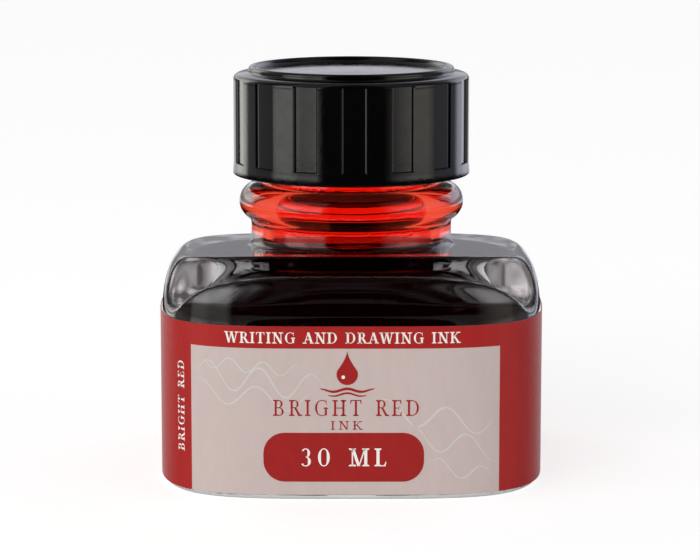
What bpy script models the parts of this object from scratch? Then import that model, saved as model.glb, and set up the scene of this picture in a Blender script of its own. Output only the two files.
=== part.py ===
"""A small square glass ink bottle with a fluted screw cap, modelled in metres with +Z up.

The origin is the middle of the footprint on the surface the bottle stands on. The front, with
the pen rest across its shoulder, faces -Y. The neck stands behind the middle, at NECK_Y.
"""

import math

import bmesh
import bpy

MM = 0.001

# Body: a rounded square (a superellipse) with a sloping shoulder
HALF_WIDTH = 22.0 * MM
SQUARENESS = 4.14
OUTLINE_POINTS = 48
HEEL_RADIUS = 1.0 * MM
BASE_RIM = 4.0 * MM
BASE_RAMP = 2.0 * MM
PUSH_UP = 0.6 * MM
SHOULDER_START = 15.3 * MM
SHOULDER_INSET = 3.35 * MM
SHOULDER_CURVE = 3.0
SHOULDER_TOP = 25.3 * MM
SHOULDER_SLOPE = 0.062
SHOULDER_STEPS = 7

# Cavity: rounder than the outside, so that the glass is thick at its corners
WALL = 1.9 * MM
BASE_THICKNESS = 2.6 * MM
ROOF_THICKNESS = 2.2 * MM
INSIDE_SQUARENESS = 3.6
INSIDE_SHOULDER_START = 13.0 * MM
INSIDE_SHOULDER_INSET = 5.5 * MM
INSIDE_SHOULDER_CURVE = 2.5
INSIDE_HEEL = ((2.0 * MM, 0.0), (0.6 * MM, 0.6 * MM), (0.0, 2.0 * MM))

# Pen rest: a trough along X across the front of the shoulder
REST_Y = -15.5 * MM
REST_Z = 23.3 * MM
REST_RADIUS = 2.2 * MM
REST_RAMP = math.radians(47)
REST_STEPS = 6
REST_CUT_TOP = 33.0 * MM
REST_CUT_MARGIN = 5.0 * MM

# Neck and finish, turned about a vertical axis
NECK_Y = 5.0 * MM
NECK_RADIUS = 12.0 * MM
NECK_FLARE = 0.8 * MM
BEAD_Z = 30.6 * MM
BEAD_RING = 11.25 * MM
BEAD_RADIUS = 2.2 * MM
FINISH_RADIUS = 10.75 * MM
RIM_Z = 43.3 * MM
RIM_ROUND = 0.8 * MM
BORE_RADIUS = 8.7 * MM
BORE_OVERLAP = 3.0 * MM
NECK_ROOT = 1.7 * MM
TURN_STEPS = 40

# Thread, right-handed, with the cap's turns lying between the bottle's
PITCH = 3.175 * MM
THREAD_TURNS = 1.25
THREAD_POINTS_PER_TURN = 28
NECK_THREAD_RING = 10.7 * MM
NECK_THREAD_RADIUS = 1.0 * MM
NECK_THREAD_Z = 37.4 * MM
CAP_THREAD_RING = 12.2 * MM
CAP_THREAD_RADIUS = 0.75 * MM

# Cap
CAP_BOTTOM = 33.9 * MM
CAP_TOP = 46.8 * MM
CAP_RADIUS = 14.1 * MM
CAP_BORE = 12.3 * MM
CAP_ROOF = 44.9 * MM
FLANGE_RADIUS = 14.2 * MM
FLANGE_HEIGHT = 1.5 * MM
CREST_RING = 11.65 * MM
CREST_RADIUS = 0.65 * MM
DISH_DEPTH = 0.7 * MM
CAP_EDGE_ROUND = 0.7 * MM
CAP_EDGE_DROP = 0.9 * MM
FLANGE_BEVEL = 0.1 * MM
FLUTES = 15
FLUTE_ANGLE = math.radians(11.5)
FLUTE_DEPTH = 0.45 * MM
FLUTE_REACH = 3.0 * MM
FLUTE_TOP = 45.5 * MM
FLUTE_START = math.radians(-90 + 1.5)

# Liner, label and ink
GAP = 0.3 * MM
LINER_RADIUS = 11.9 * MM
LINER_THICKNESS = 1.0 * MM
LABEL_BOTTOM = 0.7 * MM
LABEL_TOP = 20.0 * MM
LABEL_THICKNESS = 0.2 * MM
LABEL_SEAM = math.radians(1.35)
INK_LEVEL = 25.6 * MM


def make_material(name, colour, roughness, metallic=0.0, transmission=0.0):
    material = bpy.data.materials.new(name)
    material.use_nodes = True
    shader = material.node_tree.nodes["Principled BSDF"]
    shader.inputs["Base Color"].default_value = (*colour, 1.0)
    shader.inputs["Roughness"].default_value = roughness
    shader.inputs["Metallic"].default_value = metallic
    shader.inputs["Transmission Weight"].default_value = transmission
    return material


def make_collection(name):
    collection = bpy.data.collections.new(name)
    bpy.context.scene.collection.children.link(collection)
    return collection


def add_mesh(name, bm, collection, material=None):
    mesh = bpy.data.meshes.new(name)
    bmesh.ops.recalc_face_normals(bm, faces=bm.faces)
    bm.to_mesh(mesh)
    bm.free()
    mesh.shade_smooth()
    mesh.set_sharp_from_angle(angle=math.radians(35))
    thing = bpy.data.objects.new(name, mesh)
    collection.objects.link(thing)
    if material:
        mesh.materials.append(material)
    return thing


def outline(half, squareness=SQUARENESS, count=OUTLINE_POINTS, seam=0.0):
    """Points round the superellipse, from the back seam and back to it; a closed ring if seam is 0."""
    last = count if seam == 0 else count - 1
    points = []
    for i in range(count):
        angle = math.pi / 2 + seam + (2 * math.pi - 2 * seam) * i / last
        c = math.cos(angle)
        s = math.sin(angle)
        x = half * math.copysign(abs(c) ** (2 / squareness), c)
        y = half * math.copysign(abs(s) ** (2 / squareness), s)
        points.append((x, y))
    return points


def loft(rings):
    """A closed bmesh through rings of equal counts, with flat ends."""
    bm = bmesh.new()
    loops = [[bm.verts.new(point) for point in ring] for ring in rings]
    count = len(rings[0])
    for low, high in zip(loops, loops[1:]):
        for i in range(count):
            j = (i + 1) % count
            bm.faces.new((low[i], low[j], high[j], high[i]))
    bm.faces.new(loops[0])
    bm.faces.new(loops[-1])
    return bm


def shoulder_height(y):
    """The shoulder's flat falls gently from the pen rest towards the back."""
    return SHOULDER_TOP - SHOULDER_SLOPE * (y - NECK_Y)


def shoulder_rings(half, squareness, start, inset, curve, roof_drop):
    """Rings that curve in from the wall at start up to the flat, roof_drop below the outer one."""
    rings = []
    for step in range(SHOULDER_STEPS + 1):
        turn = math.pi / 2 * step / SHOULDER_STEPS
        inward = inset * (1 - abs(math.cos(turn)) ** (2 / curve))
        rise = math.sin(turn) ** (2 / curve)
        ring = []
        for x, y in outline(half - inward, squareness):
            top = shoulder_height(y) - roof_drop
            ring.append((x, y, start + (top - start) * rise))
        rings.append(ring)
    return rings


def level_ring(half, z, squareness=SQUARENESS):
    return [(x, y, z) for x, y in outline(half, squareness)]


def body_rings():
    """The outer body, from the push-up under the base to the shoulder's flat."""
    rings = [
        level_ring(HALF_WIDTH - BASE_RIM - BASE_RAMP, PUSH_UP),
        level_ring(HALF_WIDTH - BASE_RIM, 0.0),
    ]
    for turn in (0.0, math.pi / 6, math.pi / 3, math.pi / 2):
        inset = HEEL_RADIUS * (1 - math.sin(turn))
        rings.append(level_ring(HALF_WIDTH - inset, HEEL_RADIUS * (1 - math.cos(turn))))
    return rings + shoulder_rings(
        HALF_WIDTH, SQUARENESS, SHOULDER_START, SHOULDER_INSET, SHOULDER_CURVE, 0.0
    )


def cavity_rings(clearance):
    """The inside of the walls, smaller by clearance all round."""
    half = HALF_WIDTH - WALL - clearance
    floor = BASE_THICKNESS + clearance
    rings = [level_ring(half - inset, floor + rise, INSIDE_SQUARENESS) for inset, rise in INSIDE_HEEL]
    return rings + shoulder_rings(
        half,
        INSIDE_SQUARENESS,
        INSIDE_SHOULDER_START,
        INSIDE_SHOULDER_INSET,
        INSIDE_SHOULDER_CURVE,
        ROOF_THICKNESS + clearance,
    )


def rest_profile(grow):
    """The pen rest's section in Y and Z: a steep back, a round floor and a ramp to the front lip."""
    radius = REST_RADIUS + grow
    above = REST_CUT_TOP
    points = [(REST_Y + radius, above), (REST_Y + radius, REST_Z)]
    sweep = math.pi / 2 + REST_RAMP
    for step in range(1, REST_STEPS + 1):
        turn = sweep * step / REST_STEPS
        points.append((REST_Y + radius * math.cos(turn), REST_Z - radius * math.sin(turn)))
    y, z = points[-1]
    points.append((y - (above - z) / math.tan(REST_RAMP), above))
    return points


def rest_cutter(name, grow, cutters):
    reach = HALF_WIDTH + REST_CUT_MARGIN
    profile = rest_profile(grow)
    rings = [[(x, y, z) for y, z in profile] for x in (-reach, reach)]
    return add_cutter(add_mesh(name, loft(rings), cutters))


def add_cutter(thing):
    thing.hide_render = True
    thing.display_type = "WIRE"
    return thing


def turned(name, profile, collection, steps=TURN_STEPS, material=None):
    """A solid of revolution from (radius, z) points that run down its outer side."""
    bm = bmesh.new()
    verts = [bm.verts.new((radius, 0.0, z)) for radius, z in profile]
    for upper, lower in zip(verts, verts[1:]):
        bm.edges.new((upper, lower))
    mesh = bpy.data.meshes.new(name)
    bm.to_mesh(mesh)
    bm.free()
    thing = bpy.data.objects.new(name, mesh)
    collection.objects.link(thing)
    thing.location = (0.0, NECK_Y, 0.0)
    if material:
        mesh.materials.append(material)
    screw = thing.modifiers.new("turn", "SCREW")
    screw.steps = steps
    screw.render_steps = steps
    screw.use_merge_vertices = True
    screw.merge_threshold = 0.00001
    screw.use_smooth_shade = True
    return thing


def boolean(thing, other, operation):
    modifier = thing.modifiers.new(other.name, "BOOLEAN")
    modifier.operation = operation
    modifier.solver = "EXACT"
    modifier.object = other


def arc(centre_r, centre_z, radius, start, end, steps):
    """(radius, z) points on an arc; angles in degrees, 0 outwards and 90 up."""
    points = []
    for step in range(steps + 1):
        turn = math.radians(start + (end - start) * step / steps)
        points.append((centre_r + radius * math.cos(turn), centre_z + radius * math.sin(turn)))
    return points


def helix(name, ring, radius, bottom, cutters):
    """A round thread of THREAD_TURNS, as a closed mesh whose ends sink into the wall it stands on."""
    curve = bpy.data.curves.new(name, "CURVE")
    curve.dimensions = "3D"
    curve.bevel_depth = radius
    curve.bevel_resolution = 2
    curve.use_fill_caps = True
    count = round(THREAD_TURNS * THREAD_POINTS_PER_TURN) + 1
    spline = curve.splines.new("POLY")
    spline.points.add(count - 1)
    for i, point in enumerate(spline.points):
        turn = 2 * math.pi * i / THREAD_POINTS_PER_TURN
        x = ring * math.cos(turn)
        y = ring * math.sin(turn)
        point.co = (x, y, bottom + PITCH * turn / (2 * math.pi), 1.0)
    guide = bpy.data.objects.new(name + "_curve", curve)
    cutters.objects.link(guide)
    bpy.context.view_layer.update()
    evaluated = guide.evaluated_get(bpy.context.evaluated_depsgraph_get())
    bm = bmesh.new()
    bm.from_mesh(bpy.data.meshes.new_from_object(evaluated))
    bmesh.ops.remove_doubles(bm, verts=bm.verts, dist=0.00001)
    bpy.data.objects.remove(guide)
    thread = add_cutter(add_mesh(name, bm, cutters))
    thread.location = (0.0, NECK_Y, 0.0)
    return thread


def neck_profile():
    """The finish, the bead and the neck tube, down to a root inside the body."""
    bead_top = math.degrees(math.acos((FINISH_RADIUS - BEAD_RING) / BEAD_RADIUS))
    bead_end = -math.degrees(math.acos((NECK_RADIUS - BEAD_RING) / BEAD_RADIUS))
    flare_z = shoulder_height(NECK_Y) + NECK_FLARE
    root = SHOULDER_TOP - NECK_ROOT
    points = [(0.0, RIM_Z)]
    points += arc(FINISH_RADIUS - RIM_ROUND, RIM_Z - RIM_ROUND, RIM_ROUND, 90, 0, 3)
    points += arc(BEAD_RING, BEAD_Z, BEAD_RADIUS, bead_top, bead_end, 8)
    points += arc(NECK_RADIUS + NECK_FLARE, flare_z, NECK_FLARE, 180, 270, 3)
    points += [(NECK_RADIUS + NECK_FLARE, root), (0.0, root)]
    return points


def make_glass(parts, cutters, glass):
    bottle = add_mesh("glass_bottle", loft(body_rings()), parts, glass)
    neck = add_cutter(turned("neck_form", neck_profile(), cutters))
    thread = helix("neck_thread", NECK_THREAD_RING, NECK_THREAD_RADIUS, NECK_THREAD_Z, cutters)
    cavity = add_cutter(add_mesh("cavity", loft(cavity_rings(0.0)), cutters))
    boolean(cavity, rest_cutter("rest_inside", WALL, cutters), "DIFFERENCE")
    bore_bottom = SHOULDER_TOP - ROOF_THICKNESS - BORE_OVERLAP
    bore = [(0.0, RIM_Z + MM), (BORE_RADIUS, RIM_Z + MM), (BORE_RADIUS, bore_bottom), (0.0, bore_bottom)]
    boolean(bottle, rest_cutter("pen_rest", 0.0, cutters), "DIFFERENCE")
    boolean(bottle, neck, "UNION")
    boolean(bottle, thread, "UNION")
    boolean(bottle, cavity, "DIFFERENCE")
    boolean(bottle, add_cutter(turned("bore", bore, cutters)), "DIFFERENCE")
    return bottle


def make_ink(parts, cutters, ink):
    fill = add_mesh("ink_fill", loft(cavity_rings(GAP)), parts, ink)
    boolean(fill, rest_cutter("rest_over_ink", WALL + GAP, cutters), "DIFFERENCE")
    radius = BORE_RADIUS - GAP
    low = SHOULDER_TOP - ROOF_THICKNESS - BORE_OVERLAP - GAP
    column = [(0.0, INK_LEVEL), (radius, INK_LEVEL), (radius, low), (0.0, low)]
    boolean(fill, add_cutter(turned("ink_column", column, cutters)), "UNION")
    return fill


def make_label(parts, paper):
    """A paper strip right round the body, open at a narrow seam in the middle of the back."""
    bm = bmesh.new()
    points = outline(HALF_WIDTH + GAP, SQUARENESS, OUTLINE_POINTS + 1, LABEL_SEAM)
    low = [bm.verts.new((x, y, LABEL_BOTTOM)) for x, y in points]
    high = [bm.verts.new((x, y, LABEL_TOP)) for x, y in points]
    for i in range(len(points) - 1):
        bm.faces.new((low[i], low[i + 1], high[i + 1], high[i]))
    label = add_mesh("label", bm, parts, paper)
    solid = label.modifiers.new("thickness", "SOLIDIFY")
    solid.thickness = LABEL_THICKNESS
    solid.offset = 1.0
    return label


def cap_profile():
    """The cap's outside from the middle of the dished top, then its inside back up to the roof."""
    dish = CAP_TOP - DISH_DEPTH
    crest_z = CAP_TOP - CREST_RADIUS
    edge_r = CAP_RADIUS - CAP_EDGE_ROUND
    edge_z = CAP_TOP - CAP_EDGE_DROP - CAP_EDGE_ROUND
    points = [(0.0, dish)]
    points += arc(CREST_RING, crest_z, CREST_RADIUS, 180, 15, 6)
    points += arc(edge_r, edge_z, CAP_EDGE_ROUND, 80, 0, 5)
    points += [
        (CAP_RADIUS, CAP_BOTTOM + FLANGE_HEIGHT + FLANGE_BEVEL),
        (FLANGE_RADIUS, CAP_BOTTOM + FLANGE_HEIGHT),
        (FLANGE_RADIUS, CAP_BOTTOM),
        (CAP_BORE, CAP_BOTTOM),
        (CAP_BORE, CAP_ROOF),
        (0.0, CAP_ROOF),
    ]
    return points


def flute_cutter(cutters):
    """Fifteen shallow pockets round the cap, each a box that reaches in to the flute's floor."""
    floor = CAP_RADIUS - FLUTE_DEPTH
    low = CAP_BOTTOM + FLANGE_HEIGHT
    width = 2 * floor * math.sin(FLUTE_ANGLE / 2)
    bm = bmesh.new()
    for i in range(FLUTES):
        box = bmesh.ops.create_cube(bm, size=1.0)["verts"]
        bmesh.ops.scale(bm, verts=box, vec=(FLUTE_REACH, width, FLUTE_TOP - low))
        bmesh.ops.translate(bm, verts=box, vec=(floor + FLUTE_REACH / 2, 0.0, (FLUTE_TOP + low) / 2))
        turn = FLUTE_START + 2 * math.pi * i / FLUTES
        rotation = ((math.cos(turn), -math.sin(turn), 0), (math.sin(turn), math.cos(turn), 0), (0, 0, 1))
        for vert in box:
            vert.co = [sum(a * b for a, b in zip(row, vert.co)) for row in rotation]
    cutter = add_cutter(add_mesh("flutes", bm, cutters))
    cutter.location = (0.0, NECK_Y, 0.0)
    return cutter


def make_cap(parts, cutters, plastic):
    cap = turned("screw_cap", cap_profile(), parts, 45, plastic)
    bottom = NECK_THREAD_Z - PITCH / 2
    thread = helix("cap_thread", CAP_THREAD_RING, CAP_THREAD_RADIUS, bottom, cutters)
    boolean(cap, thread, "UNION")
    boolean(cap, flute_cutter(cutters), "DIFFERENCE")
    return cap


def make_liner(parts, foam):
    low = RIM_Z + GAP
    high = low + LINER_THICKNESS
    profile = [(0.0, high), (LINER_RADIUS, high), (LINER_RADIUS, low), (0.0, low)]
    return turned("cap_liner", profile, parts, 40, foam)


def main():
    for thing in list(bpy.data.objects):
        bpy.data.objects.remove(thing)
    parts = make_collection("ink_bottle")
    cutters = make_collection("cutters")
    make_glass(parts, cutters, make_material("clear_glass", (0.95, 0.96, 0.96), 0.02, 0.0, 1.0))
    make_ink(parts, cutters, make_material("red_ink", (0.10, 0.0, 0.005), 0.05))
    make_label(parts, make_material("label_paper", (0.45, 0.03, 0.04), 0.55))
    make_cap(parts, cutters, make_material("black_plastic", (0.012, 0.012, 0.013), 0.18))
    make_liner(parts, make_material("white_foam", (0.85, 0.84, 0.80), 0.8))


main()
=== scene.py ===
"""The looks of the ink bottle: clear moulded glass with a pen rest, red ink, a fluted black cap and a
wraparound paper label, on a pale studio floor. Lengths inside this script are in millimetres, in the
frame's axes, and MM turns them into the frame's metres when a mesh is made."""

import math

import bmesh
import bpy
import numpy as np
from mathutils import Matrix, Vector


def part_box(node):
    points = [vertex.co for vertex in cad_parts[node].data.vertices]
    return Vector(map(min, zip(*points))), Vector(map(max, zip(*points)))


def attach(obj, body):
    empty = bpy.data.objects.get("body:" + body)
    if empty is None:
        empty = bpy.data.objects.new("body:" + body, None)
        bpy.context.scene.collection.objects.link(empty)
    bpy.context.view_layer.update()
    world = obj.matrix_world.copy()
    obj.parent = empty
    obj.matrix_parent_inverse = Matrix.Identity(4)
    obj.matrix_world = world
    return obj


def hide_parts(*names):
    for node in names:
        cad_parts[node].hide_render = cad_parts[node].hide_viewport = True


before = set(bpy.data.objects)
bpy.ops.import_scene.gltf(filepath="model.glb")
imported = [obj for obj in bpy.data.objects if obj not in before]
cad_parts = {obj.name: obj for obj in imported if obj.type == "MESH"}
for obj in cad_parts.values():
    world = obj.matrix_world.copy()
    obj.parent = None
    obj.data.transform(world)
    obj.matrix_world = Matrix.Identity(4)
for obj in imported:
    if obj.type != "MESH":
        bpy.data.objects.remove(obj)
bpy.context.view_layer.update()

MM = 0.001


def box_mm(node):
    low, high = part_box(node)
    return np.array(low) / MM, np.array(high) / MM


GLASS_LOW, GLASS_HIGH = box_mm("glass_bottle")
CAP_LOW, CAP_HIGH = box_mm("screw_cap")
LINER_LOW, LINER_HIGH = box_mm("cap_liner")
LABEL_LOW, LABEL_HIGH = box_mm("label")
INK_HIGH = box_mm("ink_fill")[1]

# Glass body
GLASS_WIDER = 0.2
HALF = (GLASS_HIGH[0] - GLASS_LOW[0]) / 2 + GLASS_WIDER
SQUARENESS = 4.14
HEEL = 1.0
PUSH_UP = 0.6
SHOULDER_START = 15.3
SHOULDER_INSET = 3.35
SHOULDER_CURVE = 3.0
SHOULDER_TOP = 25.3
SHOULDER_SLOPE = 0.062
WALL = 2.5
FLOOR = 2.6
ROOF = 2.2
REST_Y = -15.5
REST_Z = 23.3
REST_RADIUS = 2.2
REST_BACK = math.radians(84)
REST_RAMP = math.radians(133)

# Neck
NECK_Y = (CAP_LOW[1] + CAP_HIGH[1]) / 2
NECK_RADIUS = 12.0
BEAD_Z = 30.6
BEAD_RING = 11.25
BEAD_RADIUS = 2.2
FINISH_RADIUS = 10.75
RIM_Z = GLASS_HIGH[2]
BORE_RADIUS = 8.7
NECK_ROOT = 23.5
INK_LEVEL = INK_HIGH[2]
PITCH = 3.175
THREAD_TURNS = 1.25
NECK_THREAD_Z = 37.4

# (half width, squareness, shoulder start, inset and curve, drop from the flat, bottom, heel, push-up)
OUTSIDE = (HALF, SQUARENESS, SHOULDER_START, SHOULDER_INSET, SHOULDER_CURVE, 0.0, 0.0, HEEL, PUSH_UP)
INSIDE = (HALF - WALL, 2.7, 11.0, 8.5, 2.3, ROOF, FLOOR, 2.4, 0.0)

GLASS_STEP = 0.42
INK_STEP = 0.6

# Where the glass carries something other than clear glass
ON_INSIDE = 0.12
FILM_BELOW_INK = 2.5
FILM_BELOW_RIM = 1.2
FOOT_HEIGHT = 0.62
FOOT_INNER = 15.0
LABEL_MARGIN = 0.2

NECK_THREAD_RING = 10.7
NECK_THREAD_RADIUS = 1.0
THREAD_FADE = 0.5


# ---------------------------------------------------------------- fields, negative inside

def smooth_max(a, b, blend):
    near = np.maximum(blend - np.abs(a - b), 0.0) / blend
    return np.maximum(a, b) + near * near * blend / 4


def smooth_min(a, b, blend):
    return -smooth_max(-a, -b, blend)


def rounded(a, b, power):
    """The length of (a, b) by a power norm: 2 is a circle, more is squarer."""
    return (np.abs(a) ** power + np.abs(b) ** power + 1e-9) ** (1 / power)


def shoulder_height(y):
    return SHOULDER_TOP - SHOULDER_SLOPE * (y - NECK_Y)


def body_field(x, y, z, form):
    """A rounded square with a rounded shoulder under its sloping flat, and a rounded heel."""
    half, power, start, inset, curve, drop, bottom, heel, push_up = form
    out = rounded(x, y, power)
    across = np.maximum(out - (half - inset), 0.0) / inset
    up = np.maximum(z - start, 0.0) / (shoulder_height(y) - drop - start)
    upper = (rounded(across, up, curve) - 1.0) * inset
    dome = np.clip((half - 4.0 - out) / 6.0, 0.0, 1.0)
    rise = z - bottom - push_up * dome * dome * (3 - 2 * dome)
    side = np.maximum(out - (half - heel), 0.0)
    under = np.maximum(heel - rise, 0.0)
    lower = np.sqrt(side ** 2 + under ** 2) - heel
    return np.maximum(upper, lower)


def rest_field(y, z, grow):
    """The pen rest's trough: everything within a radius of a wedge that opens upwards."""
    dy = y - REST_Y
    dz = z - REST_Z
    back = (math.cos(REST_BACK), math.sin(REST_BACK))
    ramp = (math.cos(REST_RAMP), math.sin(REST_RAMP))
    off_back = dy * back[1] - dz * back[0]
    off_ramp = -dy * ramp[1] + dz * ramp[0]
    along_back = dy * back[0] + dz * back[1]
    along_ramp = dy * ramp[0] + dz * ramp[1]
    apex = np.hypot(dy, dz)
    outside_back = np.where(along_back > 0, off_back, apex)
    outside_ramp = np.where(along_ramp > 0, off_ramp, apex)
    inside = np.maximum(off_back, off_ramp)
    far = np.where(off_back > off_ramp, outside_back, outside_ramp)
    return np.where(inside < 0, inside, far) - REST_RADIUS - grow


def neck_radius(x, y):
    return np.hypot(x, y - NECK_Y)


def neck_field(x, y, z):
    r = neck_radius(x, y)
    bead = np.hypot(r - BEAD_RING, z - BEAD_Z) - BEAD_RADIUS
    tube = np.maximum(r - NECK_RADIUS, z - BEAD_Z)
    finish = smooth_max(r - FINISH_RADIUS, z - RIM_Z, 1.2)
    angle = np.mod(np.arctan2(y - NECK_Y, x), 2 * math.pi)
    thread = np.full_like(r, 9.0)
    for lap in range(2):
        turn = angle + 2 * math.pi * lap
        length = 2 * math.pi * THREAD_TURNS
        fade = np.clip(np.minimum(turn, length - turn) / THREAD_FADE, -1.0, 1.0)
        middle = NECK_THREAD_Z + PITCH * turn / (2 * math.pi)
        thread = np.minimum(thread, np.hypot(r - NECK_THREAD_RING, z - middle) - NECK_THREAD_RADIUS * fade)
    finish = smooth_min(finish, thread, 0.3)
    whole = smooth_min(smooth_min(finish, bead, 0.35), tube, 0.45)
    return np.maximum(whole, NECK_ROOT - z)


def cavity_field(x, y, z):
    inner = body_field(x, y, z, INSIDE)
    inner = smooth_max(inner, -rest_field(y, z, WALL), 2.5)
    r = neck_radius(x, y)
    widen = np.clip((34.0 - z) / 8.0, 0.0, 1.0)
    bore = np.maximum(r - BORE_RADIUS - 0.9 * widen * widen * (3 - 2 * widen), 18.0 - z)
    return smooth_min(inner, bore, 2.0)


def outer_field(x, y, z):
    body = body_field(x, y, z, OUTSIDE)
    body = smooth_max(body, -rest_field(y, z, 0.0), 0.9)
    return smooth_min(body, neck_field(x, y, z), 0.6)


def glass_field(x, y, z):
    return smooth_max(outer_field(x, y, z), -cavity_field(x, y, z), 0.9)


def ink_field(x, y, z):
    """The ink reaches a hair into the glass, so that no air shows between them, and creeps up the wall."""
    hold = cavity_field(x, y, z) - 0.05
    climb = 0.5 * np.exp(np.minimum(hold, 0.0) / 0.7)
    return np.maximum(hold, z - INK_LEVEL - climb)


# ---------------------------------------------------------------- meshes from fields

def gradient(field, points):
    h = 0.01
    parts = []
    for axis in range(3):
        shift = np.zeros(3)
        shift[axis] = h
        parts.append((field(*(points + shift).T) - field(*(points - shift).T)) / (2 * h))
    return np.stack(parts, axis=1)


def crossing_average(value, mixed):
    """Each mixed cell's start point: the mean of where the field crosses zero on the cell's edges."""
    cells = np.argwhere(mixed)
    total = np.zeros((len(cells), 3))
    count = np.zeros(len(cells))
    for axis in range(3):
        others = [a for a in range(3) if a != axis]
        for corner in range(4):
            low = cells.copy()
            low[:, others[0]] += corner & 1
            low[:, others[1]] += corner >> 1
            high = low.copy()
            high[:, axis] += 1
            a = value[tuple(low.T)]
            b = value[tuple(high.T)]
            cross = (a < 0) != (b < 0)
            share = np.where(cross, a / np.where(cross, a - b, 1.0), 0.0)
            point = low.astype(float)
            point[:, axis] += share
            total += np.where(cross[:, None], point, 0.0)
            count += cross
    return cells, total / count[:, None]


def surface_nets(field, low, high, step):
    """A smooth quad mesh of the surface where field is zero, with its exact normals."""
    axes = [np.arange(a, b + step, step) for a, b in zip(low, high)]
    value = field(*np.meshgrid(*axes, indexing="ij"))
    inside = value < 0
    corners = sum(
        inside[i:inside.shape[0] - 1 + i, j:inside.shape[1] - 1 + j, k:inside.shape[2] - 1 + k].astype(int)
        for i in (0, 1) for j in (0, 1) for k in (0, 1)
    )
    mixed = (corners > 0) & (corners < 8)
    cells, points = crossing_average(value, mixed)
    index = np.full(mixed.shape, -1)
    index[mixed] = np.arange(len(cells))
    faces = []
    for axis in range(3):
        a, b = [n for n in range(3) if n != axis]
        first = np.take(inside, range(inside.shape[axis] - 1), axis)
        second = np.take(inside, range(1, inside.shape[axis]), axis)
        for entering in (True, False):
            edges = np.argwhere((first & ~second) if entering else (~first & second))
            ring = []
            for da, db in ((1, 1), (0, 1), (0, 0), (1, 0)):
                cell = edges.copy()
                cell[:, a] -= da
                cell[:, b] -= db
                ring.append(index[tuple(cell.T)])
            flip = entering == (axis == 1)
            faces.append(np.stack(ring[::-1] if flip else ring, axis=1))
    points = np.array(low) + points * step
    for _ in range(4):
        slope = gradient(field, points)
        points -= slope * (field(*points.T) / (slope ** 2).sum(1))[:, None]
    slope = gradient(field, points)
    return points, np.concatenate(faces), slope / np.linalg.norm(slope, axis=1)[:, None]


def make_piece(name, points, faces, body, materials, normals=None, face_slots=None):
    """A mesh object from points in millimetres, riding on a body."""
    mesh = bpy.data.meshes.new(name)
    mesh.from_pydata((np.asarray(points) * MM).tolist(), [], [list(map(int, f)) for f in faces])
    mesh.update()
    for material in materials:
        mesh.materials.append(material)
    mesh.shade_smooth()
    if face_slots is not None:
        mesh.polygons.foreach_set("material_index", np.asarray(face_slots, dtype=np.int32))
    if normals is not None:
        mesh.normals_split_custom_set_from_vertices(normals.tolist())
    piece = bpy.data.objects.new(name, mesh)
    bpy.context.scene.collection.objects.link(piece)
    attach(piece, body)
    return piece


# ---------------------------------------------------------------- materials

def new_material(name):
    material = bpy.data.materials.new(name)
    material.use_nodes = True
    tree = material.node_tree
    return material, tree, tree.nodes["Principled BSDF"]


def noise(tree, scale, detail=4.0, stretch=(1, 1, 1)):
    coordinates = tree.nodes.new("ShaderNodeTexCoord")
    mapping = tree.nodes.new("ShaderNodeMapping")
    mapping.inputs["Scale"].default_value = stretch
    texture = tree.nodes.new("ShaderNodeTexNoise")
    texture.inputs["Scale"].default_value = scale
    texture.inputs["Detail"].default_value = detail
    tree.links.new(coordinates.outputs["Object"], mapping.inputs["Vector"])
    tree.links.new(mapping.outputs["Vector"], texture.inputs["Vector"])
    return texture.outputs["Fac"]


def spread(tree, value, low, high):
    node = tree.nodes.new("ShaderNodeMapRange")
    node.inputs["From Min"].default_value = 0.3
    node.inputs["From Max"].default_value = 0.7
    node.inputs["To Min"].default_value = low
    node.inputs["To Max"].default_value = high
    tree.links.new(value, node.inputs["Value"])
    return node.outputs["Result"]


def bump(tree, shader, height, strength, distance):
    node = tree.nodes.new("ShaderNodeBump")
    node.inputs["Strength"].default_value = strength
    node.inputs["Distance"].default_value = distance
    tree.links.new(height, node.inputs["Height"])
    tree.links.new(node.outputs["Normal"], shader.inputs["Normal"])


def mix_colours(tree, factor, first, second):
    node = tree.nodes.new("ShaderNodeMix")
    node.data_type = "RGBA"
    tree.links.new(factor, node.inputs[0])
    for socket, value in ((node.inputs[6], first), (node.inputs[7], second)):
        if isinstance(value, tuple):
            socket.default_value = (*value, 1.0)
        else:
            tree.links.new(value, socket)
    return node.outputs[2]


def glass_material():
    """Moulded flint glass: clear, with the faint long ripples that pressing and blowing leave."""
    material, tree, shader = new_material("clear_flint_glass")
    shader.inputs["Base Color"].default_value = (1.0, 1.0, 1.0, 1.0)
    shader.inputs["Roughness"].default_value = 0.0
    shader.inputs["IOR"].default_value = 1.5
    shader.inputs["Transmission Weight"].default_value = 1.0
    bump(tree, shader, noise(tree, 160.0, 1.0, (1, 1, 0.5)), 0.06, 0.0003)
    return material


def foot_material():
    """The fine stipple on the ring that the bottle stands on, which scatters light."""
    material, tree, shader = new_material("stippled_glass_foot")
    grain = noise(tree, 2600.0, 3.0)
    colour = mix_colours(tree, grain, (0.74, 0.75, 0.77), (0.86, 0.87, 0.88))
    tree.links.new(colour, shader.inputs["Base Color"])
    shader.inputs["Roughness"].default_value = 0.35
    shader.inputs["IOR"].default_value = 1.5
    shader.inputs["Transmission Weight"].default_value = 0.4
    bump(tree, shader, grain, 0.3, 0.00005)
    return material


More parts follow.
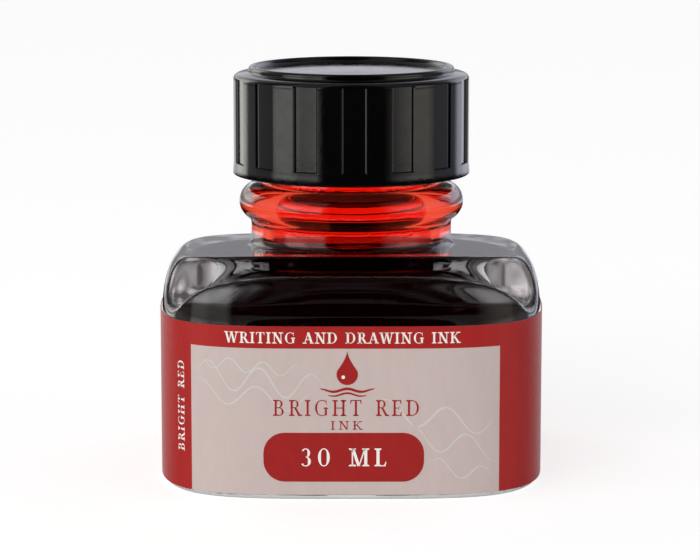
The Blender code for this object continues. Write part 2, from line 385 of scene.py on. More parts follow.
def film_material():
    """The inner face of the neck with a film of ink on it, which tints what it mirrors as well."""
    material = bpy.data.materials.new("ink_filmed_glass")
    material.use_nodes = True
    tree = material.node_tree
    tree.nodes.remove(tree.nodes["Principled BSDF"])
    shader = tree.nodes.new("ShaderNodeBsdfGlass")
    shader.inputs["Color"].default_value = (0.95, 0.085, 0.042, 1.0)
    shader.inputs["Roughness"].default_value = 0.0
    shader.inputs["IOR"].default_value = 1.5
    tree.links.new(shader.outputs["BSDF"], tree.nodes["Material Output"].inputs["Surface"])
    bump(tree, shader, noise(tree, 260.0, 2.0), 0.25, 0.0004)
    return material


def ink_material():
    material, tree, shader = new_material("deep_red_ink")
    colour = mix_colours(tree, noise(tree, 90.0, 2.0), (0.006, 0.0004, 0.0006), (0.010, 0.0004, 0.0006))
    tree.links.new(colour, shader.inputs["Base Color"])
    shader.inputs["Roughness"].default_value = 0.04
    shader.inputs["IOR"].default_value = 1.34
    shader.inputs["Specular IOR Level"].default_value = 0.15
    return material


def plastic_material():
    """Glossy black moulded plastic with a fine orange-peel skin and a little handling haze."""
    material, tree, shader = new_material("black_moulded_plastic")
    haze = noise(tree, 700.0, 5.0)
    colour = mix_colours(tree, haze, (0.0012, 0.0012, 0.0015), (0.0025, 0.0025, 0.003))
    tree.links.new(colour, shader.inputs["Base Color"])
    tree.links.new(spread(tree, haze, 0.06, 0.12), shader.inputs["Roughness"])
    shader.inputs["IOR"].default_value = 1.5
    bump(tree, shader, noise(tree, 2500.0, 2.0), 0.08, 0.00005)
    return material


def foam_material():
    material, tree, shader = new_material("white_foam_wad")
    cells = noise(tree, 3000.0, 3.0)
    colour = mix_colours(tree, cells, (0.70, 0.69, 0.65), (0.84, 0.83, 0.79))
    tree.links.new(colour, shader.inputs["Base Color"])
    shader.inputs["Roughness"].default_value = 0.75
    shader.inputs["Sheen Weight"].default_value = 0.15
    bump(tree, shader, cells, 0.5, 0.0001)
    return material


def paper_material(name, low, high):
    """Satin coated paper: print mottle, fine fibre bump and a soft varnish."""
    material, tree, shader = new_material(name)
    mottle = noise(tree, 900.0, 4.0, (1, 1, 0.35))
    tree.links.new(mix_colours(tree, mottle, low, high), shader.inputs["Base Color"])
    tree.links.new(spread(tree, noise(tree, 1500.0, 3.0), 0.42, 0.52), shader.inputs["Roughness"])
    shader.inputs["Specular IOR Level"].default_value = 0.42
    shader.inputs["Sheen Weight"].default_value = 0.45
    shader.inputs["Sheen Roughness"].default_value = 0.25
    bump(tree, shader, noise(tree, 4000.0, 3.0), 0.12, 0.00004)
    return material


def back_with_painted_glow():
    """The label's white back, with a painted glow that stands in for daylight through the paper: it shines
    though it is no lamp, in noise streaks that act as painted glints.
    """
    material = paper_material("label_back_painted_glow", (0.80, 0.79, 0.77), (0.88, 0.87, 0.85))
    tree = material.node_tree
    shader = tree.nodes["Principled BSDF"]
    # Painted glints: noise streaks that turn the painted glow up and down
    painted_glint_streaks = spread(tree, noise(tree, 330.0, 2.0, (1, 1, 0.45)), -0.35, 1.1)
    glow = mix_colours(tree, painted_glint_streaks, (0.0, 0.0, 0.0), (0.9, 0.84, 0.88))
    tree.links.new(glow, shader.inputs["Emission Color"])
    # The strength of the painted glow
    shader.inputs["Emission Strength"].default_value = 0.6
    return material


# ---------------------------------------------------------------- glass and ink

def under_label(middle, inner):
    """The outer faces that the label is glued to: they carry the label's white back with its painted glow,
    which shows through the glass.
    """
    x, y, z = middle.T
    seam = (np.abs(x) < SEAM) & (y > 0)
    return ~inner & (z > LABEL_Z[0] + LABEL_MARGIN) & (z < LABEL_Z[1] - LABEL_MARGIN) & ~seam


def make_glass(back):
    clear = glass_material()
    low = (-HALF - 0.6, -HALF - 0.6, -0.5)
    high = (HALF + 0.6, HALF + 0.6, RIM_Z + 0.6)
    points, faces, normals = surface_nets(glass_field, low, high, GLASS_STEP)
    middle = points[faces].mean(1)
    x, y, z = middle.T
    inner = np.abs(cavity_field(x, y, z)) < ON_INSIDE
    wet = inner & (z > INK_LEVEL - FILM_BELOW_INK) & (z < RIM_Z - FILM_BELOW_RIM)
    foot = ~inner & (z < FOOT_HEIGHT) & (np.maximum(abs(x), abs(y)) > FOOT_INNER)
    materials = [clear, film_material(), foot_material(), back]
    # Slot 3 paints the label's back, with its painted glow, onto the glass faces under the label
    slots = wet + 2 * foot + 3 * under_label(middle, inner)
    piece = make_piece("glass_shell", points, faces, "bottle", materials, normals, slots)
    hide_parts("glass_bottle")


def make_ink():
    low = (-HALF, -HALF, 1.5)
    high = (HALF, HALF, INK_LEVEL + 2.0)
    points, faces, normals = surface_nets(ink_field, low, high, INK_STEP)
    piece = make_piece("ink_body", points, faces, "bottle", [ink_material()], normals)
    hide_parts("ink_fill")


# ---------------------------------------------------------------- cap and liner

CAP_RADIUS = 14.1
FLANGE_RADIUS = 14.2
FLANGE_HEIGHT = 1.5
CAP_BORE = 12.3
CAP_ROOF = 44.9
CREST_RING = 11.9
CREST_RADIUS = 0.38
DISH = 0.6
EDGE_ROUND = 0.7
EDGE_DROP = 0.9
FLUTES = 15
FLUTE_HALF = math.radians(5.75)
FLUTE_DEPTH = 0.3
FLUTE_TOP = 45.5
FLUTE_SHIFT = math.radians(1.5)
SOFT_EDGE = 0.12
THREAD_REACH = 0.75


def arc(centre_r, centre_z, radius, start, end, steps):
    turns = np.radians(np.linspace(start, end, steps + 1))
    return [(centre_r + radius * math.cos(t), centre_z + radius * math.sin(t)) for t in turns]


def ramp_steps(low, high, steps):
    return list(np.linspace(low, high, steps + 1))


def cap_outline():
    """(radius, z) down the outside from the middle of the dished top, then up the inside."""
    top = CAP_HIGH[2]
    bottom = CAP_LOW[2]
    dish = top - DISH
    points = [(r, dish - 0.08 * (1 - (r / 11.3) ** 2)) for r in (0.0, 2.0, 4.0, 6.0, 8.0, 9.5, 10.6)]
    points += [(11.1, dish + 0.01), (11.3, dish + 0.05), (11.42, dish + 0.15)]
    points += arc(CREST_RING, top - CREST_RADIUS, CREST_RADIUS, 165, -10, 16)
    points += [(12.31, top - 0.62), (12.36, top - 0.72), (12.5, top - 0.78)]
    points += arc(CAP_RADIUS - EDGE_ROUND, top - EDGE_DROP - EDGE_ROUND, EDGE_ROUND, 76, 0, 10)
    ledge = bottom + FLANGE_HEIGHT
    walls = ramp_steps(top - EDGE_DROP - EDGE_ROUND - 0.3, ledge + 1.0, 6)
    walls += [ledge + 0.3, ledge + SOFT_EDGE, ledge + SOFT_EDGE / 2, ledge + 0.02]
    points += [(CAP_RADIUS, z) for z in walls]
    points += arc(FLANGE_RADIUS - 0.1, ledge - 0.1, 0.1, 80, 0, 3)
    points += arc(FLANGE_RADIUS - 0.25, bottom + 0.25, 0.25, 0, -90, 5)
    points += arc(CAP_BORE + 0.4, bottom + 0.4, 0.4, -90, -180, 5)
    points += [(CAP_BORE, z) for z in ramp_steps(bottom + 0.7, CAP_ROOF - 0.5, 50)]
    points += arc(CAP_BORE - 0.4, CAP_ROOF - 0.4, 0.4, 0, 90, 4)
    points += [(r, CAP_ROOF) for r in (10.0, 7.0, 4.0, 1.0)]
    return points


def flute_angles():
    """Angles that crowd at the edges of each flute."""
    edge = math.radians(0.5)
    half = FLUTE_HALF
    local = [-math.pi / FLUTES, -math.radians(9.5), -half - 2 * edge, -half - edge, -half, -half + edge]
    local += [-half + 2 * edge, -half / 2, 0.0, half / 2, half - 2 * edge, half - edge, half, half + edge]
    local += [half + 2 * edge, math.radians(9.5)]
    start = -math.pi / 2 + FLUTE_SHIFT
    return [start + 2 * math.pi * i / FLUTES + a for i in range(FLUTES) for a in local]


def smooth_step(value):
    value = np.clip(value, 0.0, 1.0)
    return value * value * (3 - 2 * value)


def flute_depth(angle, z):
    period = 2 * math.pi / FLUTES
    off = abs((angle - FLUTE_SHIFT + math.pi / 2 + period / 2) % period - period / 2)
    across = smooth_step((FLUTE_HALF + math.radians(0.5) - off) / math.radians(0.9))
    ledge = CAP_LOW[2] + FLANGE_HEIGHT
    up = smooth_step((FLUTE_TOP - z) / SOFT_EDGE) * smooth_step((z - ledge) / SOFT_EDGE)
    return FLUTE_DEPTH * across * up


def cap_thread(angle, z):
    """How far the cap's own thread stands in from its bore."""
    start = NECK_THREAD_Z - PITCH / 2
    length = 2 * math.pi * THREAD_TURNS
    stand = 0.0
    for lap in range(2):
        turn = angle % (2 * math.pi) + 2 * math.pi * lap
        fade = smooth_step(min(turn, length - turn) / THREAD_FADE)
        off = (z - start - PITCH * turn / (2 * math.pi)) / 0.85
        stand = max(stand, THREAD_REACH * fade * math.sqrt(max(1 - off * off, 0.0)))
    return stand


def turned_mesh(outline, angles, radius_of):
    """Points and faces of a turned form; its ends are left open for close_ends to close at the axis."""
    points = []
    for radius, z in outline:
        for angle in angles:
            r = radius_of(radius, z, angle)
            points.append((r * math.cos(angle), NECK_Y + r * math.sin(angle), z))
    count = len(angles)
    faces = []
    for row in range(len(outline) - 1):
        for i in range(count):
            j = (i + 1) % count
            a = row * count
            faces.append((a + j, a + i, a + count + i, a + count + j))
    return points, faces


def close_ends(points, faces, count, first_z, last_z):
    """Adds a fan to the axis at both ends of a turned mesh."""
    last = len(points) - count
    points += [(0.0, NECK_Y, first_z), (0.0, NECK_Y, last_z)]
    top = len(points) - 2
    for i in range(count):
        j = (i + 1) % count
        faces.append((top, i, j))
        faces.append((top + 1, last + j, last + i))


def make_cap():
    outline = cap_outline()[1:]
    angles = flute_angles()
    ledge = CAP_LOW[2] + 0.6

    def radius_of(radius, z, angle):
        if z > ledge and radius > CAP_RADIUS - 0.45 and z < CAP_HIGH[2] - 0.9:
            return min(radius, CAP_RADIUS - flute_depth(angle, z))
        if abs(radius - CAP_BORE) < 0.001 and z > ledge:
            return radius - cap_thread(angle, z)
        return radius

    points, faces = turned_mesh(outline, angles, radius_of)
    close_ends(points, faces, len(angles), CAP_HIGH[2] - DISH - 0.12, CAP_ROOF)
    piece = make_piece("cap_shell", points, faces, "cap", [plastic_material()])
    piece.data.set_sharp_from_angle(angle=math.radians(50))
    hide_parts("screw_cap")


def make_liner():
    """The foam wad: a soft-edged disc with the ring that the glass rim has pressed into it."""
    low = LINER_LOW[2]
    high = LINER_HIGH[2]
    radius = LINER_HIGH[0]
    outline = [(r, high) for r in (1.0, 5.0, 9.0)]
    outline += arc(radius - 0.3, high - 0.3, 0.3, 90, 0, 5)
    outline += arc(radius - 0.3, low + 0.3, 0.3, 0, -90, 5)
    press = [(11.0, 0.0), (10.6, 0.1), (10.2, 0.22), (9.7, 0.26), (9.2, 0.22), (8.8, 0.1), (8.4, 0.0)]
    outline += [(r, low + depth) for r, depth in press]
    outline += [(r, low) for r in (6.0, 3.0, 1.0)]
    angles = list(np.linspace(0, 2 * math.pi, 120, endpoint=False))
    points, faces = turned_mesh(outline, angles, lambda radius, z, angle: radius)
    close_ends(points, faces, len(angles), high, low)
    piece = make_piece("liner_wad", points, faces, "liner", [foam_material()])
    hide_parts("cap_liner")


# ---------------------------------------------------------------- label

LABEL_Z = (LABEL_LOW[2], LABEL_HIGH[2])
PAPER = 0.11
PRINT = 0.014
PAPER_GAP = 0.01
PANEL_HALF = 17.76
PANEL_TOP = 17.5
ARTWORK_SHIFT = -0.8
SEAM = 3.0
RED_SLOT, PANEL_SLOT, BACK_SLOT = range(3)


def wrap_table():
    """Arc length from the middle of the front, and the outline's points, right round to the back."""
    turn = np.linspace(0, math.pi, 4001)
    x = HALF * np.sin(turn).clip(0) ** (2 / SQUARENESS)
    y = -HALF * np.sign(np.cos(turn)) * np.abs(np.cos(turn)) ** (2 / SQUARENESS)
    length = np.concatenate([[0], np.cumsum(np.hypot(np.diff(x), np.diff(y)))])
    return length, x, y


WRAP_LENGTH, WRAP_X, WRAP_Y = wrap_table()


def on_label(s, z, lift):
    """The point at arc length s, positive to the right, and height z, lifted off the glass."""
    s = np.asarray(s, dtype=float)
    x = np.sign(s) * np.interp(np.abs(s), WRAP_LENGTH, WRAP_X)
    y = np.interp(np.abs(s), WRAP_LENGTH, WRAP_Y)
    nx = np.sign(x) * np.abs(x / HALF) ** (SQUARENESS - 1)
    ny = np.sign(y) * np.abs(y / HALF) ** (SQUARENESS - 1)
    size = np.hypot(nx, ny)
    return np.stack([x + lift * nx / size, y + lift * ny / size, np.broadcast_to(z, x.shape)], axis=-1)


def paper_columns():
    end = WRAP_LENGTH[-1] - SEAM
    left = ARTWORK_SHIFT - PANEL_HALF
    right = ARTWORK_SHIFT + PANEL_HALF
    return np.concatenate([
        np.linspace(-end, left, 90)[:-1], np.linspace(left, right, 90), np.linspace(right, end, 90)[1:]
    ])


def make_paper(red, cream, back):
    columns = paper_columns()
    heights = [LABEL_Z[0], 4.0, 8.0, 12.0, PANEL_TOP, LABEL_Z[1]]
    rows = [on_label(columns, z, PAPER_GAP + PAPER) for z in heights]
    rows += [on_label(columns, z, PAPER_GAP) for z in reversed(heights)]
    count = len(columns)
    points = np.concatenate(rows)
    faces = []
    slots = []
    panel = (columns >= ARTWORK_SHIFT - PANEL_HALF - 1e-6) & (columns < ARTWORK_SHIFT + PANEL_HALF - 1e-6)
    panel_rows = len(heights) - 2
    inner_rows = range(len(heights), len(rows) - 1)
    for row in range(len(rows)):
        after = (row + 1) % len(rows)
        for i in range(count - 1):
            faces.append((row * count + i, row * count + i + 1, after * count + i + 1, after * count + i))
            # The paper's inner faces take the back material with its painted glow
            if row in inner_rows:
                slots.append(BACK_SLOT)
            else:
                slots.append(PANEL_SLOT if row < panel_rows and panel[i] else RED_SLOT)
    for i, order in ((0, 1), (count - 1, -1)):
        faces.append([row * count + i for row in range(len(rows))][::-order])
        slots.append(RED_SLOT)
    piece = make_piece("label_wrap", points, faces, "bottle", [red, cream, back], None, slots)
    piece.data.set_sharp_from_angle(angle=math.radians(40))
    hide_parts("label")


def print_piece(name, flat, faces, s, z, material, turn=0.0, lift=PRINT):
    """Lays flat points (in millimetres, x right and y up) on the label at s and z."""
    flat = np.asarray(flat, dtype=float)
    c = math.cos(turn)
    d = math.sin(turn)
    across = s + flat[:, 0] * c - flat[:, 1] * d
    up = z + flat[:, 0] * d + flat[:, 1] * c
    points = on_label(across, up, PAPER_GAP + PAPER + lift)
    return make_piece(name, points, faces, "bottle", [material])


# ---------------------------------------------------------------- serif capitals, drawn on a unit height

class Pen:
    """Gathers the filled shapes of one line of capitals. Thick strokes have width w, hairlines h."""

    def __init__(self, w, h):
        self.w = w
        self.h = h
        self.at = 0.0
        self.points = []
        self.faces = []

    def shape(self, outline):
        start = len(self.points)
        self.points += [(self.at + x, y) for x, y in outline]
        self.faces.append(list(range(start, len(self.points))))

    def bar(self, x0, x1, y0, y1):
        self.shape([(x0, y0), (x1, y0), (x1, y1), (x0, y1)])

    def serif(self, x, y, reach=0.11):
        """A foot or head serif centred on x: a hairline slab with small brackets."""
        h = self.h
        inward = 1 if y < 0.5 else -1
        half = reach + self.w / 2
        edge = y + inward * h
        shape = [(x - half, y), (x + half, y), (x + half, edge), (x + half * 0.55, edge + inward * h * 0.8)]
        shape += [(x - half * 0.55, edge + inward * h * 0.8), (x - half, edge)]
        self.shape(shape if inward > 0 else shape[::-1])

    def stem(self, x, y0=0.0, y1=1.0, width=None, foot=True, head=True):
        width = self.w if width is None else width
        self.bar(x - width / 2, x + width / 2, y0, y1)
        if foot:
            self.serif(x, y0)
        if head:
            self.serif(x, y1)

    def slant(self, x0, y0, x1, y1, width):
        half = width / 2
        self.shape([(x0 - half, y0), (x0 + half, y0), (x1 + half, y1), (x1 - half, y1)])

    def arc(self, cx, cy, rx, ry, start, end, side, thin):
        """A curved stroke whose width swells from thin to side where it runs upright."""
        steps = 16
        for k in range(steps):
            quad = []
            for turn, order in ((k, 0), (k + 1, 1)):
                a = math.radians(start + (end - start) * turn / steps)
                swell = abs(math.cos(a)) ** 1.5
                ix = rx - thin - (side - thin) * swell
                iy = ry - thin
                c = math.cos(a)
                d = math.sin(a)
                pair = [(cx + rx * c, cy + ry * d), (cx + ix * c, cy + iy * d)]
                quad += pair if order == 0 else pair[::-1]
            self.shape(quad if end < start else quad[::-1])


WORD_SPACE = 0.45
HAIRLINE = 0.055


def glyph(pen, letter):
    """Draws one capital, or leaves the space between words, and returns its width."""
    w = pen.w
    h = pen.h
    if letter == "I":
        pen.stem(0.2)
        return 0.4
    if letter in "EL":
        pen.stem(0.2)
        pen.bar(0.2, 0.62, 0, h)
        if letter == "E":
            pen.bar(0.2, 0.60, 1 - h, 1)
            pen.bar(0.2, 0.48, 0.5 - h / 2, 0.5 + h / 2)
        pen.shape([(0.62, 0), (0.66, 0.26), (0.62, 0.26), (0.54, h)])
        if letter == "E":
            pen.shape([(0.60, 1), (0.52, 1 - h), (0.58, 0.76), (0.62, 0.76)])
            pen.bar(0.46, 0.49, 0.38, 0.62)
        return 0.70
    if letter == "T":
        pen.stem(0.38, head=False)
        pen.bar(0.04, 0.72, 1 - h, 1)
        pen.shape([(0.04, 1), (0.02, 0.75), (0.055, 0.75), (0.12, 1 - h)])
        pen.shape([(0.72, 1), (0.64, 1 - h), (0.705, 0.75), (0.74, 0.75)])
        return 0.76
    if letter == "H":
        pen.stem(0.2)
        pen.stem(0.72)
        pen.bar(0.2, 0.72, 0.5 - h / 2, 0.5 + h / 2)
        return 0.92
    if letter == "N":
        pen.stem(0.2, width=h * 1.3)
        pen.stem(0.76, width=h * 1.3, foot=False)
        pen.slant(0.76, 0.0, 0.2, 1.0, w * 1.15)
        return 0.94
    if letter == "M":
        pen.stem(0.2, width=h * 1.3)
        pen.stem(0.94)
        pen.slant(0.56, 0.0, 0.22, 1.0, w)
        pen.slant(0.56, 0.0, 0.90, 1.0, h * 1.3)
        return 1.14
    if letter == "W":
        pen.slant(0.36, 0.0, 0.12, 1.0, w)
        pen.slant(0.36, 0.0, 0.58, 1.0, h * 1.3)
        pen.slant(0.82, 0.0, 0.58, 1.0, w)
        pen.slant(0.82, 0.0, 1.04, 1.0, h * 1.3)
        for x in (0.12, 0.58, 1.04):
            pen.serif(x, 1.0, 0.08)
        return 1.16
    if letter == "A":
        pen.slant(0.14, 0.0, 0.44, 1.0, h * 1.3)
        pen.slant(0.74, 0.0, 0.44, 1.0, w * 1.1)
        pen.bar(0.24, 0.64, 0.32, 0.32 + h)
        pen.serif(0.14, 0.0, 0.08)
        pen.serif(0.74, 0.0, 0.08)
        return 0.88
    if letter == "K":
        pen.stem(0.2)
        pen.slant(0.24, 0.42, 0.68, 1.0, h * 1.4)
        pen.slant(0.74, 0.0, 0.38, 0.58, w * 1.1)
        pen.serif(0.70, 1.0, 0.08)
        pen.serif(0.76, 0.0, 0.08)
        return 0.90
    if letter == "D":
        pen.stem(0.2)
        pen.arc(0.36, 0.5, 0.46, 0.5, 90, -90, w, h)
        pen.bar(0.2, 0.37, 0, h)
        pen.bar(0.2, 0.37, 1 - h, 1)
        return 0.90
    if letter in "BR":
        pen.stem(0.2)
        pen.arc(0.36, 0.745, 0.27, 0.255, 90, -90, w * 0.95, h)
        pen.bar(0.2, 0.37, 1 - h, 1)
        pen.bar(0.2, 0.37, 0.49, 0.49 + h)
        if letter == "B":
            pen.arc(0.38, 0.265, 0.32, 0.265, 90, -90, w, h)
            pen.bar(0.2, 0.39, 0, h)
        if letter == "R":
            pen.slant(0.70, 0.0, 0.42, 0.51, w * 1.1)
            pen.serif(0.72, 0.0, 0.07)
        return 0.80
    if letter == "G":
        pen.arc(0.50, 0.5, 0.44, 0.51, 52, 310, w, h)
        pen.bar(0.755, 0.79, 0.70, 0.98)
        pen.bar(0.74 - w / 2, 0.74 + w / 2, 0.04, 0.42)
        pen.serif(0.74, 0.44, 0.08)
        return 0.92
    if letter == "0":
        pen.arc(0.37, 0.5, 0.33, 0.51, 0, 360, w, h)
        return 0.74
    if letter == "3":
        pen.arc(0.32, 0.745, 0.25, 0.255, 150, -90, w * 0.9, h)
        pen.arc(0.32, 0.265, 0.29, 0.275, 90, -150, w, h)
        return 0.68
    return WORD_SPACE


def print_capitals(name, words, width, height, s, z, material, weight, gap, turn=0.0, lift=PRINT):
    """A line of serif capitals, sized to width and height and laid on the label."""
    pen = Pen(weight, HAIRLINE)
    for letter in words:
        pen.at += glyph(pen, letter) + gap
    flat = np.array(pen.points)
    low = flat.min(0)
    high = flat.max(0)
    flat = (flat - (low + high) / 2) / (high - low) * (width, height)
    return print_piece(name, flat, pen.faces, s, z, material, turn, lift)


def strip(centres, half_heights):
    """Flat points and faces of a band that follows centres (x, y) with the given half heights."""
    flat = []
    faces = []
    for (x, y), half in zip(centres, half_heights):
        flat += [(x, y - half), (x, y + half)]
    for i in range(len(centres) - 1):
        faces.append((2 * i, 2 * i + 2, 2 * i + 3, 2 * i + 1))
    return flat, faces


def plaque_form(half_width, half_height, corner):
    """A plain bar with rounded corners."""
    xs = []
    halves = []
    for t in np.linspace(90, 0, 12):
        xs.append(-half_width + corner - corner * math.sin(math.radians(t)))
        halves.append(half_height - corner + corner * math.cos(math.radians(t)))
    for x in np.linspace(-half_width + corner + 0.01, half_width - corner - 0.01, 30):
        xs.append(x)
        halves.append(half_height)
    for t in np.linspace(0, 90, 12):
        xs.append(half_width - corner + corner * math.sin(math.radians(t)))
        halves.append(half_height - corner + corner * math.cos(math.radians(t)))
    return strip([(x, 0.0) for x in xs], halves)


def disc_form(radius, count=24):
    turns = np.linspace(0, 2 * math.pi, count, endpoint=False)
    flat = [(radius * math.cos(t), radius * math.sin(t)) for t in turns]
    return flat, [list(range(count))]


def drop_form(height, radius):
    """An ink drop: a round foot drawn up to a point."""
    flat = [(radius * math.sin(t), -radius * math.cos(t)) for t in np.radians(np.linspace(-112, 112, 40))]
    shoulder = flat[-1]
    tip = height - radius
    for k in range(1, 8):
        share = k / 8
        flat.append((shoulder[0] * (1 - share) ** 1.5, shoulder[1] + (tip - shoulder[1]) * share))
    flat.append((0.0, tip))
    flat += [(-x, y) for x, y in reversed(flat[40:-1])]
    return flat, [list(range(len(flat)))]


def wave_form(x0, x1, y0, y1, swing, turns, start, thick):
    """A faint wavy pen line whose width swells in the middle of every stroke."""
    centres = []
    halves = []
    for share in np.linspace(0, 1, 90):
        phase = start + 2 * math.pi * turns * share
        centres.append((x0 + (x1 - x0) * share, y0 + (y1 - y0) * share + swing * math.sin(phase)))
        swell = 0.45 + 0.55 * abs(math.cos(phase))
        halves.append(thick * swell * math.sqrt(max(math.sin(math.pi * share), 0.0)) + 0.01)
    return strip(centres, halves)


def make_artwork(red, white, faint):
    mid = ARTWORK_SHIFT
    waves = (
        (-16.9, -2.2, 14.6, 12.9, 1.5, 2.5, 0.0, 0.17), (-16.9, -3.6, 12.6, 11.3, 1.2, 2.0, 1.2, 0.14),
        (-16.5, -5.0, 15.9, 14.9, 0.7, 3.0, 2.0, 0.11), (3.6, 17.0, 10.6, 8.6, 1.3, 2.0, 0.4, 0.17),
        (7.6, 17.0, 7.6, 5.6, 1.3, 1.5, 1.6, 0.15), (9.6, 17.0, 4.2, 2.6, 0.9, 1.5, 0.2, 0.12),
    )
    for k, wave in enumerate(waves):
        flat, faces = wave_form(*wave)
        print_piece(f"pen_line_{k}", flat, faces, mid, 0.0, faint, 0.0, PRINT / 2)
    print_capitals("band_words", "WRITING AND DRAWING INK", 26.6, 1.28, mid - 0.2, 18.72, white, 0.17, 0.10)
    flat, faces = drop_form(3.9, 1.2)
    print_piece("drop_emblem", flat, faces, mid + 0.35, 14.55, red)
    flat, faces = disc_form(0.2)
    print_piece("drop_glint", flat, faces, mid - 0.1, 14.25, white, 0.0, 2 * PRINT)
    for k, (reach, low, thick) in enumerate(((3.1, 12.75, 0.15), (2.2, 12.25, 0.10))):
        xs = np.linspace(-reach, reach, 40)
        centres = [(x, 0.17 * math.cos(x * 2.0)) for x in xs]
        halves = [thick * math.sqrt(max(1 - (x / reach) ** 2, 0.0)) + 0.01 for x in xs]
        flat, faces = strip(centres, halves)
        print_piece(f"ripple_{k}", flat, faces, mid + 0.35, low, red)
    print_capitals("title_words", "BRIGHT RED", 16.4, 1.85, mid + 0.2, 10.72, red, 0.13, 0.20)
    print_capitals("small_words", "INK", 3.6, 0.98, mid + 0.3, 8.72, red, 0.13, 0.28)
    flat, faces = plaque_form(9.05, 2.82, 2.4)
    print_piece("plaque", flat, faces, mid - 0.05, 5.05, red)
    print_capitals("plaque_words", "30 ML", 9.6, 2.1, mid - 0.05, 5.05, white, 0.17, 0.28, 0.0, 2 * PRINT)
    print_capitals("side_words", "BRIGHT RED", 10.4, 1.15, -20.25, 10.2, white, 0.17, 0.14, math.pi / 2)


def make_label(back):
    red = paper_material("label_red", (0.34, 0.004, 0.003), (0.41, 0.008, 0.006))
    cream = paper_material("label_cream", (0.50, 0.405, 0.385), (0.56, 0.465, 0.44))
    red_print = paper_material("print_red", (0.31, 0.004, 0.004), (0.37, 0.008, 0.007))
    white_print = paper_material("print_white", (0.80, 0.76, 0.72), (0.86, 0.83, 0.80))
    make_paper(red, cream, back)
    faint_print = paper_material("print_faint", (0.55, 0.52, 0.49), (0.60, 0.57, 0.54))
    make_artwork(red_print, white_print, faint_print)


# ---------------------------------------------------------------- studio

CAMERA_DISTANCE = 356.64
CAMERA_HEIGHT = 79.87
CAMERA_PITCH = 9.408
PICTURE_WIDTH = 83.45


def make_camera():
    """A long lens from slightly above the cap, looking down at the bottle."""
    camera = bpy.data.cameras.new("camera")
    camera.sensor_width = 36.0
    camera.lens = camera.sensor_width * CAMERA_DISTANCE / PICTURE_WIDTH
    camera.shift_x = -0.0018
    camera.clip_start = 0.01
    camera.clip_end = 10.0
    thing = bpy.data.objects.new("camera", camera)
    place = Vector((0.0, NECK_Y - CAMERA_DISTANCE, CAMERA_HEIGHT)) * MM
    thing.matrix_world = Matrix.Translation(place) @ Matrix.Rotation(math.radians(90 - CAMERA_PITCH), 4, "X")
    bpy.context.scene.collection.objects.link(thing)
    bpy.context.scene.camera = thing


def make_floor():
    bm = bmesh.new()
    bmesh.ops.create_circle(bm, cap_ends=True, segments=96, radius=3.0)
    mesh = bpy.data.meshes.new("floor")
    bm.to_mesh(mesh)
    bm.free()
    floor = bpy.data.objects.new("floor", mesh)
    floor.location.z = -0.00002
    bpy.context.scene.collection.objects.link(floor)
    material, tree, shader = new_material("pale_floor")
    shader.inputs["Base Color"].default_value = (0.5, 0.5, 0.5, 1.0)
    shader.inputs["Roughness"].default_value = 0.9
    shader.inputs["Emission Color"].default_value = (1.0, 1.0, 1.0, 1.0)
    shader.inputs["Emission Strength"].default_value = 0.72
    mesh.materials.append(material)
    floor.visible_glossy = False


# (degrees from straight ahead of the front, brightness, colour), left negative
STUDIO = (
    (-180, 0.75, (0.97, 0.98, 1.06)),
    (-152, 1.0, (1.0, 1.0, 1.0)),
    (-140, 2.3, (1.02, 1.0, 0.95)),
    (-126, 2.6, (1.02, 1.0, 0.95)),
    (-120, 0.35, (1.0, 1.0, 1.0)),
    (-84, 0.35, (1.0, 1.0, 1.0)),
    (-78, 2.1, (1.0, 0.99, 0.95)),
    (-60, 2.3, (1.0, 0.99, 0.95)),
    (-50, 1.3, (1.0, 0.99, 0.95)),
    (-34, 1.6, (1.0, 0.99, 0.96)),
    (-28, 0.0, (1.0, 1.0, 1.0)),
    (33, 0.0, (1.0, 1.0, 1.0)),
    (48, 0.8, (1.0, 0.96, 0.90)),
    (62, 1.35, (1.05, 0.98, 0.88)),
    (80, 1.25, (1.05, 0.98, 0.90)),
    (88, 0.45, (1.0, 1.0, 1.0)),
    (120, 0.30, (0.85, 0.95, 1.25)),
    (128, 1.75, (0.96, 0.99, 1.12)),
    (146, 1.5, (0.96, 0.99, 1.12)),
    (160, 0.8, (0.97, 0.98, 1.08)),
    (180, 0.75, (0.97, 0.98, 1.06)),
)


# (height of the direction, share of the brightness): dark below, a dim horizon, dark overhead
STUDIO_HEIGHTS = tuple((z, share, (1.0, 1.0, 1.0)) for z, share in (
    (-1.0, 0.0), (-0.15, 0.0), (-0.136, 1.0), (-0.08, 1.0), (-0.05, 0.35), (0.05, 0.5), (0.10, 1.15),
    (0.25, 1.1),
    (0.4, 1.0), (0.6, 0.25), (1.0, 0.2),
))


def colour_ramp(tree, factor, table, low, span):
    """A colour ramp through (value, brightness, colour) entries."""
    node = tree.nodes.new("ShaderNodeValToRGB")
    tree.links.new(factor, node.inputs["Fac"])
    elements = node.color_ramp.elements
    while len(elements) < len(table):
        elements.new(0.5)
    for element, (value, brightness, colour) in zip(elements, table):
        element.position = (value - low) / span
        element.color = (*(brightness * c for c in colour), 1.0)
    return node.outputs["Color"]


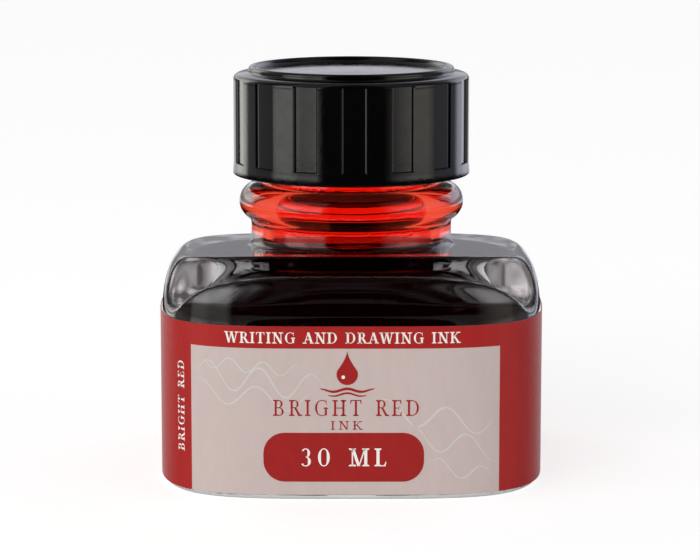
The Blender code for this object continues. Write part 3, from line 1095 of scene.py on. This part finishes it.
def make_world():
    """White walls behind, a tall soft panel on each side and a dark room in front."""
    world = bpy.data.worlds.new("studio")
    bpy.context.scene.world = world
    world.use_nodes = True
    tree = world.node_tree
    nodes = tree.nodes
    links = tree.links
    background = nodes["Background"]
    coordinates = nodes.new("ShaderNodeTexCoord")
    axes = nodes.new("ShaderNodeSeparateXYZ")
    links.new(coordinates.outputs["Generated"], axes.inputs["Vector"])
    forward = nodes.new("ShaderNodeMath")
    forward.operation = "MULTIPLY"
    forward.inputs[1].default_value = -1.0
    links.new(axes.outputs["Y"], forward.inputs[0])
    azimuth = nodes.new("ShaderNodeMath")
    azimuth.operation = "ARCTAN2"
    links.new(axes.outputs["X"], azimuth.inputs[0])
    links.new(forward.outputs[0], azimuth.inputs[1])
    share = nodes.new("ShaderNodeMapRange")
    share.inputs["From Min"].default_value = -math.pi
    share.inputs["From Max"].default_value = math.pi
    links.new(azimuth.outputs[0], share.inputs["Value"])
    around = colour_ramp(tree, share.outputs["Result"], STUDIO, -180, 360)
    level = nodes.new("ShaderNodeMapRange")
    level.inputs["From Min"].default_value = -1.0
    links.new(axes.outputs["Z"], level.inputs["Value"])
    heights = colour_ramp(tree, level.outputs["Result"], STUDIO_HEIGHTS, -1.0, 2.0)
    walls = nodes.new("ShaderNodeMix")
    walls.data_type = "RGBA"
    walls.blend_type = "MULTIPLY"
    walls.inputs[0].default_value = 1.0
    links.new(around, walls.inputs[6])
    links.new(heights, walls.inputs[7])
    path = nodes.new("ShaderNodeLightPath")
    behind = nodes.new("ShaderNodeMapRange")
    behind.inputs["From Min"].default_value = -0.85
    behind.inputs["From Max"].default_value = -0.35
    links.new(axes.outputs["Y"], behind.inputs["Value"])
    through = nodes.new("ShaderNodeMath")
    through.operation = "MULTIPLY"
    links.new(behind.outputs["Result"], through.inputs[0])
    links.new(path.outputs["Is Transmission Ray"], through.inputs[1])
    plain = nodes.new("ShaderNodeMath")
    plain.operation = "MAXIMUM"
    links.new(through.outputs[0], plain.inputs[0])
    links.new(path.outputs["Is Camera Ray"], plain.inputs[1])
    colour = mix_colours(tree, plain.outputs[0], walls.outputs[2], (1.0, 1.0, 1.0))
    links.new(colour, background.inputs["Color"])


def make_lights():
    """A large soft front fill that lights the label and isn't mirrored in the gloss."""
    light = bpy.data.lights.new("front_fill", "AREA")
    light.shape = "RECTANGLE"
    light.size = 0.6
    light.size_y = 0.4
    light.energy = 3.0
    lamp = bpy.data.objects.new("front_fill", light)
    place = Vector((-0.25, -0.7, 0.35))
    turn = (Vector((0.0, 0.0, 0.02)) - place).to_track_quat("-Z", "Y").to_matrix().to_4x4()
    lamp.matrix_world = Matrix.Translation(place) @ turn
    lamp.visible_glossy = False
    lamp.visible_transmission = False
    bpy.context.scene.collection.objects.link(lamp)


make_camera()
make_world()
make_lights()
make_floor()
# The label's back, with its painted glow, goes on the glass under the label and on the paper's inner faces
label_back_painted_glow = back_with_painted_glow()
make_glass(label_back_painted_glow)
make_ink()
make_cap()
make_liner()
make_label(label_back_painted_glow)
bpy.context.scene.view_settings.view_transform = "Standard"
